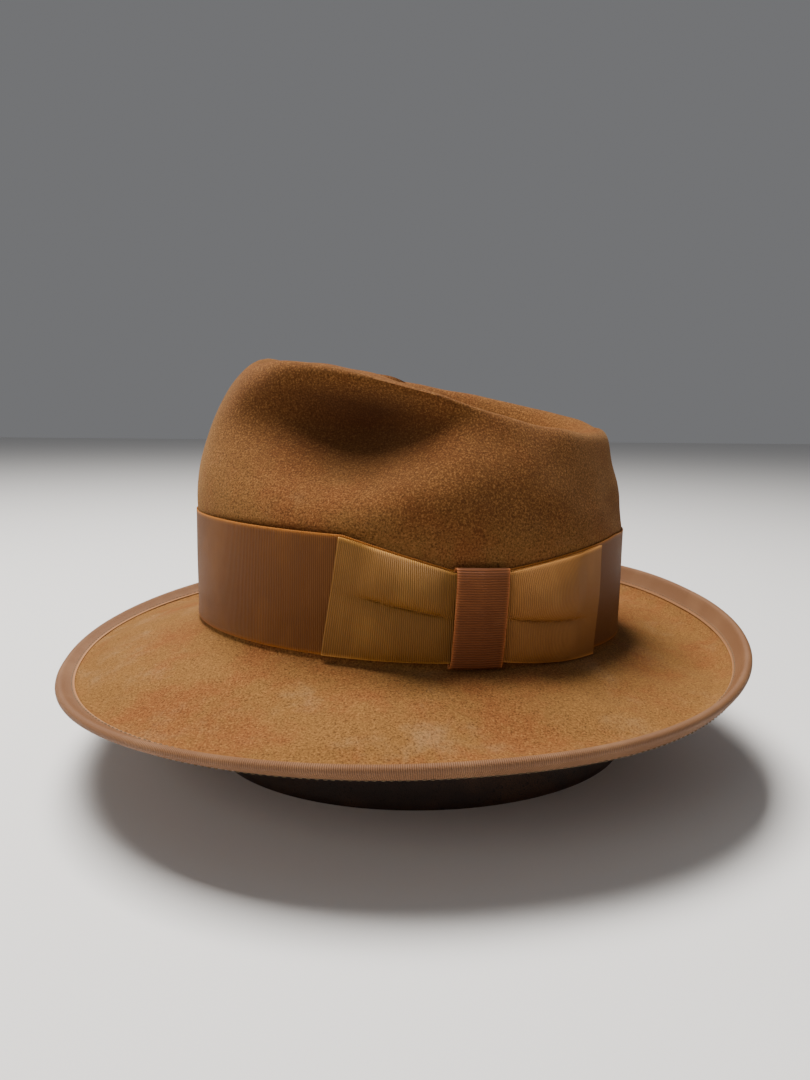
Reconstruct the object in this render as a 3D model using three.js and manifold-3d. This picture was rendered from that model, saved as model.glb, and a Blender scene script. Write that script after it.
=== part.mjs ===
// A felt fedora with a snap brim, standing on its turned-down sweatband.
// Millimetres, +Z up. The front of the hat is at -X, and the bow is on the -Y side.
// The origin is under the middle of the brim, on the plane that the sweatband stands on.
import * as THREE from "three";
import { ParametricGeometry } from "three/addons/geometries/ParametricGeometry.js";
import { mergeVertices } from "three/addons/utils/BufferGeometryUtils.js";
import Module from "manifold-3d";

const wasm = await Module();
wasm.setup();

const AROUND = 48; // facets round every ring of the hat
const GAP = 0.3; // clearance between two pieces that touch

const felt = { thickness: 2.2 };
const ribbon = { thickness: 0.7, width: 47.5 };
const thread = { radius: 0.3 };

// The crown's oval, to the middle of the felt, and the line where the crown meets the brim.
const oval = { centre: 4.3, halfLength: 98, halfWidth: 80 };
const breakLine = { height: 60.7, tilt: -0.043, fillet: 4, filletTurn: 1.3 };

// The rim round the top of the crown, and the long dent inside it.
const rim = { centre: 10, halfLength: 79, halfWidth: 58, taper: 0.12 };
const rimHeight = { middle: 164.9, fall: 14.2, saddle: -1.4, wave: 1.3, skew: 6.4, twist: 1.9 };
const dent = { depth: 26, lip: 0.22 };
const shoulder = { frontPower: 2.25, rearPower: 1.2, cornerPower: 18, rearCorner: 0.2 };

// The hollows pressed into both sides of the crown's front, deepest a drop below the rim.
const pinch = {
  x: -26, drop: 20, slant: 0.9, ahead: 58, behind: 22, below: 22, depth: 33, softness: 34,
};

// The brim's outer edge, to the outside of its binding.
const brim = { halfLength: 154, halfWidth: 145, squareness: 2.19 };
const brimHeight = { middle: 54, rearRise: 9.4, frontRoll: 1.2, skew: 6.5, twist: 2.1 };
const lip = { sides: 8.5, rearExtra: 2.5, reach: 12, steepness: 1.3 };
const binding = { width: 6.5, thickness: 0.7, seam: 1.2 };
const snapLine = { x: -103 }; // the brim in front of this line snaps up and down

const bow = { front: -41.7, knotLow: 1.8, knotHigh: 22.8, rear: 68.5, dip: 11 };
const knot = { thickness: 1, below: 1.2 };
const bowReach = { front: 40, rear: 60 }; // how far the dip of the ribbon spreads from the knot
const wing = { puff: 5, pinched: 2.4, foot: 0.6, rearSag: 2.5, swellTurn: 2 };

// The sweatband's sewn edge is a drop below the break and an inset inside the felt's middle.
const sweatband = {
  centre: 10.3, halfLength: 99.2, halfWidth: 81.3, thickness: 1.2, inset: 1.7, sewnDrop: 2.3,
  seam: 0.05, // the seam's distance from the sewn edge, as a share of the height
};
const rearSeam = { halfAngle: 0.012, low: 0.08, high: 0.62 };
const reed = { radius: 0.9, drop: 1, inset: 2.4 };
const tape = { thickness: 0.5, low: 0.2, high: 10.4 };
const lining = { clearance: 2.5, thickness: 0.5, tipDrop: 5, tipLift: 1 }; // it hangs loose
const piping = { radius: 0.7, inset: 0.6, shoulderLength: 60 };
// The rear bow's place and heights are shares of the sweatband's height, its lengths millimetres.
const rearBow = {
  halfLength: 11, halfHeight: 0.08, waist: 0.6, thickness: 1.6, along: 0.78,
  knotHalfLength: 2, knotHalfHeight: 0.06,
};

// A geometry whose corners are shared, with its collapsed triangles taken out.
function closed(geometry) {
  geometry.deleteAttribute("normal");
  geometry.deleteAttribute("uv");
  const merged = mergeVertices(geometry);
  const corners = merged.index.array;
  const kept = [];
  for (let i = 0; i < corners.length; i += 3) {
    const [a, b, c] = corners.subarray(i, i + 3);
    if (a !== b && b !== c && c !== a) kept.push(a, b, c);
  }
  return merged.setIndex(kept);
}

// A ring round the hat: section(angle) lists its corners, up the outside and down the inside.
function ring(section) {
  const sections = Array.from({ length: AROUND }, (_, i) => section((i / AROUND) * 2 * Math.PI));
  const corners = sections[0].length;
  const surface = (u, v, target) =>
    target.copy(sections[Math.round(u * AROUND) % AROUND][Math.round(v * corners) % corners]);
  return closed(new ParametricGeometry(surface, AROUND, corners));
}

// A strip of constant outline, in unit sizes, put in its place by a function of its three sides.
function strip(outline, steps, place) {
  const shape = new THREE.Shape(outline.map(([up, out]) => new THREE.Vector2(up, out)));
  const geometry = new THREE.ExtrudeGeometry(shape, { depth: 1, steps, bevelEnabled: false });
  const position = geometry.getAttribute("position");
  for (let i = 0; i < position.count; i++) {
    const point = place(position.getZ(i), position.getX(i), position.getY(i));
    position.setXYZ(i, point.x, point.y, point.z);
  }
  return closed(geometry);
}

// The corners of a round thread or cord; place(up, out) says where its section lies.
function roundSection(radius, sides, place) {
  return Array.from({ length: sides }, (_, i) => {
    const turn = (i / sides) * 2 * Math.PI;
    return place(radius * Math.sin(turn), radius * Math.cos(turn));
  });
}

const lerp = THREE.MathUtils.lerp;
const breakHeight = (x) => breakLine.height + breakLine.tilt * x;
const signedPower = (value, power) => Math.sign(value) * Math.abs(value) ** power;

// The wall of the crown: a point at an angle and a height, a distance out from the felt's middle.
function wallPoint(angle, z, out) {
  const normal = new THREE.Vector2(
    Math.cos(angle) / oval.halfLength,
    Math.sin(angle) / oval.halfWidth,
  ).normalize();
  return new THREE.Vector3(
    oval.centre + oval.halfLength * Math.cos(angle) + normal.x * out,
    oval.halfWidth * Math.sin(angle) + normal.y * out,
    z,
  );
}

// A height on the wall above the break, which is higher at the front than at the rear.
function aboveBreak(angle, up, out) {
  const x = oval.centre + oval.halfLength * Math.cos(angle);
  return wallPoint(angle, breakHeight(x) + up, out);
}

// The fillet between wall and brim, from 0 at the brim to 1 at the wall.
function filletPoint(angle, along) {
  const turn = breakLine.filletTurn * (1 - along);
  const out = breakLine.fillet * (1 - Math.cos(turn));
  return aboveBreak(angle, -breakLine.fillet * Math.sin(turn), out);
}

// The middle of the felt at the brim's edge.
function brimEdge(angle) {
  const inset = felt.thickness / 2 + GAP;
  const power = 2 / brim.squareness;
  return new THREE.Vector3(
    (brim.halfLength - inset) * signedPower(Math.cos(angle), power),
    (brim.halfWidth - inset) * signedPower(Math.sin(angle), power),
    brimHeight.middle +
      brimHeight.rearRise * Math.cos(angle) +
      brimHeight.frontRoll * Math.cos(3 * angle) +
      brimHeight.skew * Math.sin(angle) +
      brimHeight.twist * Math.sin(2 * angle),
  );
}

const lipHeight = (angle) => lip.sides + lip.rearExtra * Math.cos(angle);

// The brim, from 0 at its edge to 1 at the fillet: it sweeps out and curls up at the edge.
function brimPoint(angle, along) {
  const edge = brimEdge(angle);
  const root = filletPoint(angle, 0);
  const out = 1 - along;
  const width = Math.hypot(edge.x - root.x, edge.y - root.y);
  const lipRise = lipHeight(angle);
  const rise = edge.z - lipRise - root.z;
  const rootSlope = -width / Math.tan(breakLine.filletTurn);
  const curl = Math.max(0, 1 - (along * width) / lip.reach);
  return new THREE.Vector3(
    lerp(root.x, edge.x, out),
    lerp(root.y, edge.y, out),
    root.z + rootSlope * out + (rise - rootSlope) * out ** 2 + lipRise * curl ** 2,
  );
}

// The rim's crest, a teardrop in plan that falls towards the rear.
function rimPoint(angle) {
  return new THREE.Vector3(
    rim.centre + rim.halfLength * Math.cos(angle),
    rim.halfWidth * Math.sin(angle) * (1 + rim.taper * Math.cos(angle)),
    rimHeight.middle -
      rimHeight.fall * Math.cos(angle) +
      rimHeight.saddle * Math.cos(2 * angle) +
      rimHeight.wave * Math.cos(3 * angle) +
      rimHeight.skew * Math.sin(angle) +
      rimHeight.twist * Math.sin(2 * angle),
  );
}

// Presses the hollows of the pinch into a point below that point of the rim's crest.
function pinched(point, crest) {
  const drop = crest.z - point.z;
  const upper = Math.sin((THREE.MathUtils.clamp(drop / pinch.drop, 0, 1) * Math.PI) / 2);
  const lower = Math.exp(-((Math.max(0, drop - pinch.drop) / pinch.below) ** 2));
  const offset = point.x - pinch.x + pinch.slant * (drop - pinch.drop);
  const along = offset / (offset < 0 ? pinch.ahead : pinch.behind);
  const press = pinch.depth * upper * lower * Math.exp(-(along ** 2));
  point.y -= press * Math.tanh(point.y / pinch.softness);
  return point;
}

// The shoulder, from 0 at the top of the ribbon to 1 at the rim's crest: it leans in, more and
// more at the front and evenly at the rear, and ends in a tight corner.
function shoulderPoint(angle, along) {
  const foot = aboveBreak(angle, ribbon.width, 0);
  const crest = rimPoint(angle);
  const rearness = (1 + Math.cos(angle)) / 2;
  const lean = along ** lerp(shoulder.frontPower, shoulder.rearPower, rearness);
  const corner = along ** shoulder.cornerPower;
  const inward = lerp(lean, corner, shoulder.rearCorner * rearness ** 3);
  const rise = (shoulder.cornerPower * along - corner) / (shoulder.cornerPower - 1);
  return pinched(
    new THREE.Vector3(
      lerp(foot.x, crest.x, inward),
      lerp(foot.y, crest.y, inward),
      lerp(foot.z, crest.z, rise),
    ),
    crest,
  );
}

const dentFloor = (x) =>
  rimHeight.middle - dent.depth - (rimHeight.fall * (x - rim.centre)) / rim.halfLength;

// The dent, from 0 at the rim's crest to 1 at its middle.
function dentPoint(angle, along) {
  const crest = rimPoint(angle);
  const x = lerp(crest.x, rim.centre, along);
  const floor = dentFloor(x);
  const sink = (1 - Math.exp(-((along / dent.lip) ** 2))) / (1 - Math.exp(-(dent.lip ** -2)));
  const point = new THREE.Vector3(x, lerp(crest.y, 0, along), lerp(crest.z, floor, sink));
  return pinched(point, crest);
}

// The felt's middle surface: row 0 is the brim's edge, 1 the fillet's foot, 2 the break,
// 3 the top of the ribbon, 4 the rim's crest and 5 the middle of the dent.
function feltMiddle(angle, row) {
  if (row <= 1) return brimPoint(angle, row);
  if (row <= 2) return filletPoint(angle, row - 1);
  if (row <= 3) return aboveBreak(angle, ribbon.width * (row - 2), 0);
  if (row <= 4) return shoulderPoint(angle, row - 3);
  return dentPoint(angle, row - 4);
}

// A point a distance out from the felt's middle surface, square to it.
function feltPoint(angle, row, out) {
  const step = 0.01;
  const point = feltMiddle(angle, row);
  if (row > 5 - step) return point.add(new THREE.Vector3(0, 0, out));
  const round = feltMiddle(angle + step, row).sub(feltMiddle(angle - step, row));
  const up = feltMiddle(angle, row + step).sub(feltMiddle(angle, Math.max(0, row - step)));
  return point.addScaledVector(round.cross(up).normalize(), out);
}

// The closed section of a skin that follows the felt through the given rows.
function skinSection(angle, rows, outer, inner) {
  const outside = rows.map((row) => feltPoint(angle, row, outer));
  const inside = rows.map((row) => feltPoint(angle, row, inner)).reverse();
  return [...outside, ...inside];
}

const half = felt.thickness / 2;

// The row that lies a distance in from the edge, measured up and down the curled lip.
function rowFromEdge(angle, distance) {
  const edge = brimEdge(angle);
  const root = filletPoint(angle, 0);
  const steep = (lip.steepness * lipHeight(angle)) / lip.reach;
  const width = Math.hypot(edge.x - root.x, edge.y - root.y);
  return distance / width / Math.hypot(1, steep);
}

const brimRows = [0.15, 0.22, 0.4, 0.7, 1];
const crownRows = [1.5, 2, 3, 3.25, 3.45, 3.6, 3.72, 3.83, 3.92, 4];
const dentRows = [4.14, 4.3, 4.5, 4.75, 5];
const feltBody = ring((angle) => {
  const tail = rowFromEdge(angle, binding.width);
  return skinSection(angle, [0, tail, ...brimRows, ...crownRows, 4.06, ...dentRows], half, -half);
});

// The edge binding: a tape folded over the felt's edge.
const bindingShell = ring((angle) => {
  const inner = half + GAP;
  const outer = inner + binding.thickness;
  const tail = rowFromEdge(angle, binding.width);
  const outward = feltPoint(angle, 0, 0).sub(feltPoint(angle, 0.02, 0)).normalize();
  const wrapped = (out, ahead) => feltPoint(angle, 0, out).addScaledVector(outward, ahead);
  return [
    feltPoint(angle, tail, -outer),
    wrapped(-outer, binding.thickness / 2),
    wrapped(0, GAP + binding.thickness),
    wrapped(outer, binding.thickness / 2),
    feltPoint(angle, tail, outer),
    feltPoint(angle, tail, inner),
    wrapped(inner, GAP / 2),
    wrapped(0, GAP),
    wrapped(-inner, GAP / 2),
    feltPoint(angle, tail, -inner),
  ];
});

// A line of stitching along the binding, on its top (side 1) or its underside (side -1).
function bindingThread(side) {
  const out = side * (half + GAP + binding.thickness + GAP + thread.radius);
  return ring((angle) => {
    const row = rowFromEdge(angle, binding.width - binding.seam);
    const spread = rowFromEdge(angle, 1);
    return roundSection(thread.radius, 4, (up, away) => feltPoint(angle, row + up * spread, out + away));
  });
}

// The ribbon's top edge is drawn down to the knot of the bow.
function ribbonDip(x) {
  const ahead = (bow.knotLow - x) / bowReach.front;
  const behind = (x - bow.knotHigh) / bowReach.rear;
  return bow.dip * Math.max(0, 1 - Math.max(0, ahead, behind));
}

const bandInner = half + GAP;
const bandOuter = bandInner + ribbon.thickness;
const hatBand = ring((angle) => {
  const x = oval.centre + oval.halfLength * Math.cos(angle);
  const dip = Math.sin(angle) < 0 ? ribbonDip(x) : 0;
  const low = 0.5;
  const high = ribbon.width - dip;
  return [
    aboveBreak(angle, low, bandOuter),
    aboveBreak(angle, high, bandOuter),
    aboveBreak(angle, high, bandInner),
    aboveBreak(angle, low, bandInner),
  ];
});

// A point on the bow's side of the crown, placed by its distance along the hat.
function bowSide(x, up, out) {
  return aboveBreak(-Math.acos((x - oval.centre) / oval.halfLength), up, out);
}

const bowInner = bandOuter + GAP;

// One wing of the bow, from its outer fold to the middle of the knot, which pinches it.
function bowWing(fold, side, sag) {
  const outline = [
    [0, 0], [1, 0], [1, 0.45], [0.85, 0.75], [0.65, 0.95], [0.35, 0.95], [0.15, 0.75], [0, 0.45],
  ];
  const knotMiddle = (bow.knotLow + bow.knotHigh) / 2;
  const knotHalf = (bow.knotHigh - bow.knotLow) / 2;
  const inner = knotMiddle + (side * GAP) / 2;
  const [start, end] = side < 0 ? [fold, inner] : [inner, fold];
  return strip(outline, 8, (along, up, out) => {
    const x = lerp(start, end, along);
    const free = (Math.abs(x - knotMiddle) - knotHalf) / (Math.abs(fold - knotMiddle) - knotHalf);
    const swell = Math.sin(Math.max(0, free) * wing.swellTurn);
    const low = wing.foot - sag * swell;
    const high = ribbon.width - wing.foot - ribbonDip(x);
    const thickness = lerp(wing.pinched, wing.puff, swell);
    return bowSide(x, lerp(low, high, up), bowInner + thickness * out);
  });
}

// The ribbon wrapped over the middle of the bow, with its ends turned in behind.
function bowKnot() {
  const inner = wing.pinched + GAP;
  const outer = inner + knot.thickness;
  const bottom = -knot.below;
  const top = ribbon.width - bow.dip + knot.below;
  const outline = [
    [bottom, 0], [bottom + knot.thickness, 0], [bottom + knot.thickness, inner],
    [top - knot.thickness, inner], [top - knot.thickness, 0], [top, 0], [top, outer],
    [bottom, outer],
  ];
  return strip(outline, 4, (along, up, out) =>
    bowSide(lerp(bow.knotLow, bow.knotHigh, along), up, bowInner + out),
  );
}

// The sweatband, turned down: 0 is the edge it stands on and 1 is the sewn edge in the crown.
function sweatbandPoint(angle, along, out) {
  const sewn = aboveBreak(angle, -sweatband.sewnDrop, out - sweatband.inset);
  const foot = new THREE.Vector3(
    sweatband.centre + (sweatband.halfLength + out) * Math.cos(angle),
    (sweatband.halfWidth + out) * Math.sin(angle),
    0,
  );
  return foot.lerp(sewn, along);
}

const sweatbandBody = ring((angle) => [
  sweatbandPoint(angle, 0, 0),
  sweatbandPoint(angle, 1, 0),
  sweatbandPoint(angle, 1, -sweatband.thickness),
  sweatbandPoint(angle, 0, -sweatband.thickness),
]);

// The thread that sews the sweatband's edge to the reed's tape.
const sweatbandThread = ring((angle) =>
  roundSection(thread.radius, 4, (up, away) => {
    const point = sweatbandPoint(angle, 1 - sweatband.seam, GAP + thread.radius + away);
    return point.add(new THREE.Vector3(0, 0, up));
  }),
);

// The thread that joins the sweatband's two ends, down its rear.
function rearSeamThread() {
  const outline = [[0, 0], [1, 0], [1, 1], [0, 1]];
  return strip(outline, 1, (along, up, out) => {
    const angle = lerp(-rearSeam.halfAngle, rearSeam.halfAngle, along);
    const height = lerp(rearSeam.low, rearSeam.high, up);
    return sweatbandPoint(angle, height, GAP + 2 * thread.radius * out);
  });
}

// The reed, a cord that stiffens the sweatband's sewn edge, and the tape that holds it.
const reedCord = ring((angle) =>
  roundSection(reed.radius, 5, (up, away) => aboveBreak(angle, up - reed.drop, away - reed.inset)),
);
const tapeOuter = -half - GAP;
const reedTape = ring((angle) => [
  aboveBreak(angle, tape.low, tapeOuter),
  aboveBreak(angle, tape.high, tapeOuter),
  aboveBreak(angle, tape.high, tapeOuter - tape.thickness),
  aboveBreak(angle, tape.low, tapeOuter - tape.thickness),
]);

// The small flat bow over the sweatband's rear seam: two loops and the wrap between them.
function rearBowRibbon() {
  const outline = [[-1, 0], [1, 0], [1, 0.5], [0.5, 1], [-0.5, 1], [-1, 0.5]];
  return strip(outline, 6, (along, up, out) => {
    const across = 2 * along - 1;
    const angle = (across * rearBow.halfLength) / sweatband.halfWidth;
    const waist = rearBow.waist + (1 - rearBow.waist) * Math.abs(across);
    const height = rearBow.along + up * rearBow.halfHeight * waist;
    return sweatbandPoint(angle, height, GAP + rearBow.thickness * out);
  });
}
function rearBowKnot() {
  const inner = rearBow.thickness + 2 * GAP;
  const outline = [[-1, inner], [1, inner], [1, inner + knot.thickness], [-1, inner + knot.thickness]];
  return strip(outline, 2, (along, up, out) => {
    const angle = ((2 * along - 1) * rearBow.knotHalfLength) / sweatband.halfWidth;
    return sweatbandPoint(angle, rearBow.along + up * rearBow.knotHalfHeight, out);
  });
}

// The lining: a side inside the crown, an oval tip below the dent and a piping at their seam.
const liningOuter = -half - lining.clearance;
const liningInner = liningOuter - lining.thickness;

// The row of the shoulder that is level with the tip.
function tipRow(angle) {
  const foot = aboveBreak(angle, ribbon.width, 0);
  const crest = rimPoint(angle);
  const level = dentFloor(crest.x) - lining.tipDrop;
  return 3 + ((level - foot.z) / (crest.z - foot.z)) * (1 - 1 / shoulder.cornerPower);
}

const liningSide = ring((angle) => {
  const top = tipRow(angle);
  const rows = [2.4, 3, lerp(3, top, 0.35), lerp(3, top, 0.6), lerp(3, top, 0.8), top];
  return skinSection(angle, rows, liningOuter, liningInner);
});
const liningTip = ring((angle) => {
  const edge = feltPoint(angle, tipRow(angle), liningOuter);
  const middle = new THREE.Vector3(rim.centre, 0, dentFloor(rim.centre) - lining.tipDrop);
  const layer = (up) =>
    [0, 0.35, 0.7, 1].map((share) => {
      const point = edge.clone().lerp(middle, share);
      point.z += up;
      return point;
    });
  return [...layer(lining.tipLift + lining.thickness), ...layer(lining.tipLift).reverse()];
});
const liningPiping = ring((angle) =>
  roundSection(piping.radius, 5, (up, away) => {
    const down = piping.radius + GAP;
    const row = tipRow(angle) + (up - down) / piping.shoulderLength;
    return feltPoint(angle, row, liningInner - piping.inset - piping.radius + away);
  }),
);

// A geometry as a solid of manifold-3d, and back.
function solid(geometry) {
  return new wasm.Manifold(
    new wasm.Mesh({
      numProp: 3,
      vertProperties: new Float32Array(geometry.getAttribute("position").array),
      triVerts: new Uint32Array(geometry.index.array),
    }),
  );
}
function geometryOf(manifold) {
  const mesh = manifold.getMesh();
  return new THREE.BufferGeometry()
    .setAttribute("position", new THREE.BufferAttribute(mesh.vertProperties, 3))
    .setIndex(new THREE.BufferAttribute(mesh.triVerts, 1));
}

// Cuts a ring of the brim at the snap line: its front, and all the rest.
function cutAtSnapLine(geometry) {
  const size = 4 * brim.halfLength;
  const box = new THREE.BoxGeometry(size, size, size);
  const front = closed(box.clone().translate(snapLine.x - GAP - size / 2, 0, 0));
  const rest = closed(box.translate(snapLine.x + size / 2, 0, 0));
  const whole = solid(geometry);
  return {
    front: geometryOf(whole.intersect(solid(front))),
    rest: geometryOf(whole.intersect(solid(rest))),
  };
}

const materials = {
  felt: { color: 0x8c623c, roughness: 0.95, metalness: 0 },
  band: { color: 0x7d5523, roughness: 0.6, metalness: 0 },
  bow: { color: 0x966e37, roughness: 0.6, metalness: 0 },
  binding: { color: 0x82735f, roughness: 0.7, metalness: 0 },
  thread: { color: 0x6a5842, roughness: 0.8, metalness: 0 },
  leather: { color: 0x3a2417, roughness: 0.5, metalness: 0 },
  tape: { color: 0x5a4632, roughness: 0.85, metalness: 0 },
  lining: { color: 0xb49a72, roughness: 0.35, metalness: 0 },
};

const group = new THREE.Group();
function add(name, geometry, material) {
  const mesh = new THREE.Mesh(geometry, new THREE.MeshStandardMaterial(materials[material]));
  mesh.name = name;
  group.add(mesh);
}

// The pieces that the snap line crosses, each as a front and the rest.
const crossing = [
  ["felt_body", "felt_brim_front", feltBody, "felt"],
  ["brim_binding", "brim_binding_front", bindingShell, "binding"],
  ["binding_top_thread", "binding_top_thread_front", bindingThread(1), "thread"],
  ["binding_under_thread", "binding_under_thread_front", bindingThread(-1), "thread"],
];
for (const [restName, frontName, geometry, material] of crossing) {
  const { front, rest } = cutAtSnapLine(geometry);
  add(restName, rest, material);
  add(frontName, front, material);
}

add("hat_band", hatBand, "band");
add("bow_front_wing", bowWing(bow.front, -1, 0), "bow");
add("bow_rear_wing", bowWing(bow.rear, 1, wing.rearSag), "bow");
add("bow_knot", bowKnot(), "band");
add("sweatband", sweatbandBody, "leather");
add("sweatband_thread", sweatbandThread, "thread");
add("sweatband_seam_thread", rearSeamThread(), "thread");
add("sweatband_reed", reedCord, "tape");
add("reed_tape", reedTape, "tape");
add("rear_bow_ribbon", rearBowRibbon(), "band");
add("rear_bow_knot", rearBowKnot(), "band");
add("lining_side", liningSide, "lining");
add("lining_tip", liningTip, "lining");
add("lining_piping", liningPiping, "lining");

export default group;
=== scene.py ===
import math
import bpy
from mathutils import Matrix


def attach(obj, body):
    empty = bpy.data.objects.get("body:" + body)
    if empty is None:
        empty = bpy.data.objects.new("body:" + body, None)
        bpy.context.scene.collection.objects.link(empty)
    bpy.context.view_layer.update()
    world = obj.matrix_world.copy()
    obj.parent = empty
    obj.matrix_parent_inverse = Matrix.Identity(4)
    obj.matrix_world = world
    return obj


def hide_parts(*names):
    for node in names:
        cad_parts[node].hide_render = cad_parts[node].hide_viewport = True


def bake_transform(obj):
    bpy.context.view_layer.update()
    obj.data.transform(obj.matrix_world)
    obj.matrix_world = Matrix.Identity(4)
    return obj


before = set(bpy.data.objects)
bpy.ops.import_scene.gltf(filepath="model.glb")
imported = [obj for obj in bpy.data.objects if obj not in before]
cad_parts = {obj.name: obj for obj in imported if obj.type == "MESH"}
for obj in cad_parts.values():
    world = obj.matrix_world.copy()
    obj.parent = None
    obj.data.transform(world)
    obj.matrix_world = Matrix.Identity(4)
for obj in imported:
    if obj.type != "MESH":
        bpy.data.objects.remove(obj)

# A felt fedora on its turned-down sweatband. Shapes are worked out in millimetres, in the frame
# of the CAD model: +Z up, the front of the hat at -X, the bow on the -Y side.
from types import SimpleNamespace as Sizes

import bmesh
import bpy
import numpy as np
from mathutils import Matrix, Vector

MM = 0.001  # metres in a millimetre
TURN = 2 * math.pi
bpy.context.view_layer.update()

# ---------------------------------------------------------------- driving dimensions
FELT = Sizes(thickness=2.2)
RIBBON = Sizes(width=47.5, thickness=0.45, rib=0.8, gap=0.15)
OVAL = Sizes(centre=4.3, half_length=98, half_width=80)
BREAK = Sizes(height=60.7, tilt=-0.043, fillet=4, fillet_turn=1.3)
RIM = Sizes(centre=10, half_length=79, half_width=58, taper=0.12)
RIM_HEIGHT = Sizes(middle=164.9, fall=14.2, saddle=-1.4, wave=1.3, skew=6.4, twist=1.9)
DENT = Sizes(depth=26, lip=0.22)
SHOULDER = Sizes(front_power=2.25, rear_power=1.2, corner_power=18, rear_corner=0.2)
PINCH = Sizes(x=-26, drop=20, slant=0.9, ahead=58, behind=22, below=22, depth=33, softness=34)
BRIM = Sizes(half_length=154, half_width=145, squareness=2.19)
BRIM_HEIGHT = Sizes(middle=54, rear_rise=9.4, front_roll=1.2, skew=6.5, twist=2.1)
# Where the painted shade in the pinch lies, down from the rim's crest and along the hat.
PINCH_SHADE_REACH = Sizes(rim=2, fade_in=7, bottom=46, fade_out=30, ahead=44, behind=24, most=0.8)
LIP = Sizes(sides=8.5, rear_extra=2.5, reach=12, steepness=1.3)
BINDING = Sizes(width=6.5, thickness=0.55, gap=0.15, seam=1.3, rib=0.7)
STITCH = Sizes(pitch=2.6, length=1.9, radius=0.22)
BOW = Sizes(front=-41.7, knot_low=1.8, knot_high=22.8, rear=68.5, dip=11)
BOW_REACH = Sizes(front=40, rear=60)
SELVEDGE = 1.1  # the width of the pale woven edge of a ribbon
KNOT = Sizes(below=1.2, behind=0.35, ahead=4.2, cloth=0.5, pinch=0.7, lean=0.05,
             upright=18)
SWEATBAND = Sizes(centre=10.3, half_length=99.2, half_width=81.3, thickness=1.2, inset=1.7,
                  sewn_drop=2.3)
TAPE = Sizes(thickness=0.5, low=0.2, high=10.4, gap=0.3)
LINING = Sizes(clearance=2.5, thickness=0.4, pleats=64, tip_drop=5, tip_lift=1.25)
SNAP = Sizes(start=-99, end=-134)  # where the bend of the front brim begins and ends, along X


# ---------------------------------------------------------------- the hat's surface
def lerp(a, b, t):
    return a + (b - a) * t


def points_of(x, y, z):
    return np.stack(np.broadcast_arrays(x, y, z), -1).astype(float)


def normalised(v):
    return v / np.maximum(np.linalg.norm(v, axis=-1, keepdims=True), 1e-12)


def signed_power(value, power):
    return np.sign(value) * np.abs(value) ** power


def wall_point(angle, z, out):
    """A point of the crown's wall, a distance out from the felt's middle."""
    normal = normalised(
        points_of(np.cos(angle) / OVAL.half_length, np.sin(angle) / OVAL.half_width, 0.0)
    )
    x = OVAL.centre + OVAL.half_length * np.cos(angle) + normal[..., 0] * out
    y = OVAL.half_width * np.sin(angle) + normal[..., 1] * out
    return points_of(x, y, z)


def above_break(angle, up, out):
    """A height above the line where wall and brim meet."""
    x = OVAL.centre + OVAL.half_length * np.cos(angle)
    return wall_point(angle, BREAK.height + BREAK.tilt * x + up, out)


def fillet_point(angle, along):
    turn = BREAK.fillet_turn * (1 - along)
    return above_break(angle, -BREAK.fillet * np.sin(turn), BREAK.fillet * (1 - np.cos(turn)))


def brim_edge(angle):
    inset = FELT.thickness / 2 + BINDING.gap
    power = 2 / BRIM.squareness
    height = (
        BRIM_HEIGHT.middle
        + BRIM_HEIGHT.rear_rise * np.cos(angle)
        + BRIM_HEIGHT.front_roll * np.cos(3 * angle)
        + BRIM_HEIGHT.skew * np.sin(angle)
        + BRIM_HEIGHT.twist * np.sin(2 * angle)
    )
    return points_of(
        (BRIM.half_length - inset) * signed_power(np.cos(angle), power),
        (BRIM.half_width - inset) * signed_power(np.sin(angle), power),
        height,
    )


def lip_height(angle):
    """How far the brim's edge curls up."""
    return LIP.sides + LIP.rear_extra * np.cos(angle)


def brim_point(angle, along):
    """The brim's middle, from 0 at its edge to 1 at the fillet."""
    edge, root = brim_edge(angle), fillet_point(angle, 0.0)
    out = 1 - along
    width = np.hypot(edge[..., 0] - root[..., 0], edge[..., 1] - root[..., 1])
    lip = lip_height(angle)
    rise = edge[..., 2] - lip - root[..., 2]
    root_slope = -width / math.tan(BREAK.fillet_turn)
    curl = np.clip(1 - along * width / LIP.reach, 0, None)
    z = root[..., 2] + root_slope * out + (rise - root_slope) * out**2 + lip * curl**2
    return points_of(
        lerp(root[..., 0], edge[..., 0], out), lerp(root[..., 1], edge[..., 1], out), z
    )


def rim_point(angle):
    """The crest round the top of the crown."""
    height = (
        RIM_HEIGHT.middle
        - RIM_HEIGHT.fall * np.cos(angle)
        + RIM_HEIGHT.saddle * np.cos(2 * angle)
        + RIM_HEIGHT.wave * np.cos(3 * angle)
        + RIM_HEIGHT.skew * np.sin(angle)
        + RIM_HEIGHT.twist * np.sin(2 * angle)
    )
    return points_of(
        RIM.centre + RIM.half_length * np.cos(angle),
        RIM.half_width * np.sin(angle) * (1 + RIM.taper * np.cos(angle)),
        height,
    )


def pinched(points, crest):
    """Presses in the two hollows at the front of the crown, deepest some way below the rim."""
    x, y, z = np.moveaxis(points, -1, 0)
    drop = crest[..., 2] - z
    press = np.sin(np.clip(drop / PINCH.drop, 0, 1) * math.pi / 2)
    press = press * np.exp(-((np.clip(drop - PINCH.drop, 0, None) / PINCH.below) ** 2))
    along = x - PINCH.x + PINCH.slant * (drop - PINCH.drop)
    along = along / np.where(along < 0, PINCH.ahead, PINCH.behind)
    press = PINCH.depth * press * np.exp(-(along**2)) * np.tanh(y / PINCH.softness)
    return points_of(x, y - press, z)


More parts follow.
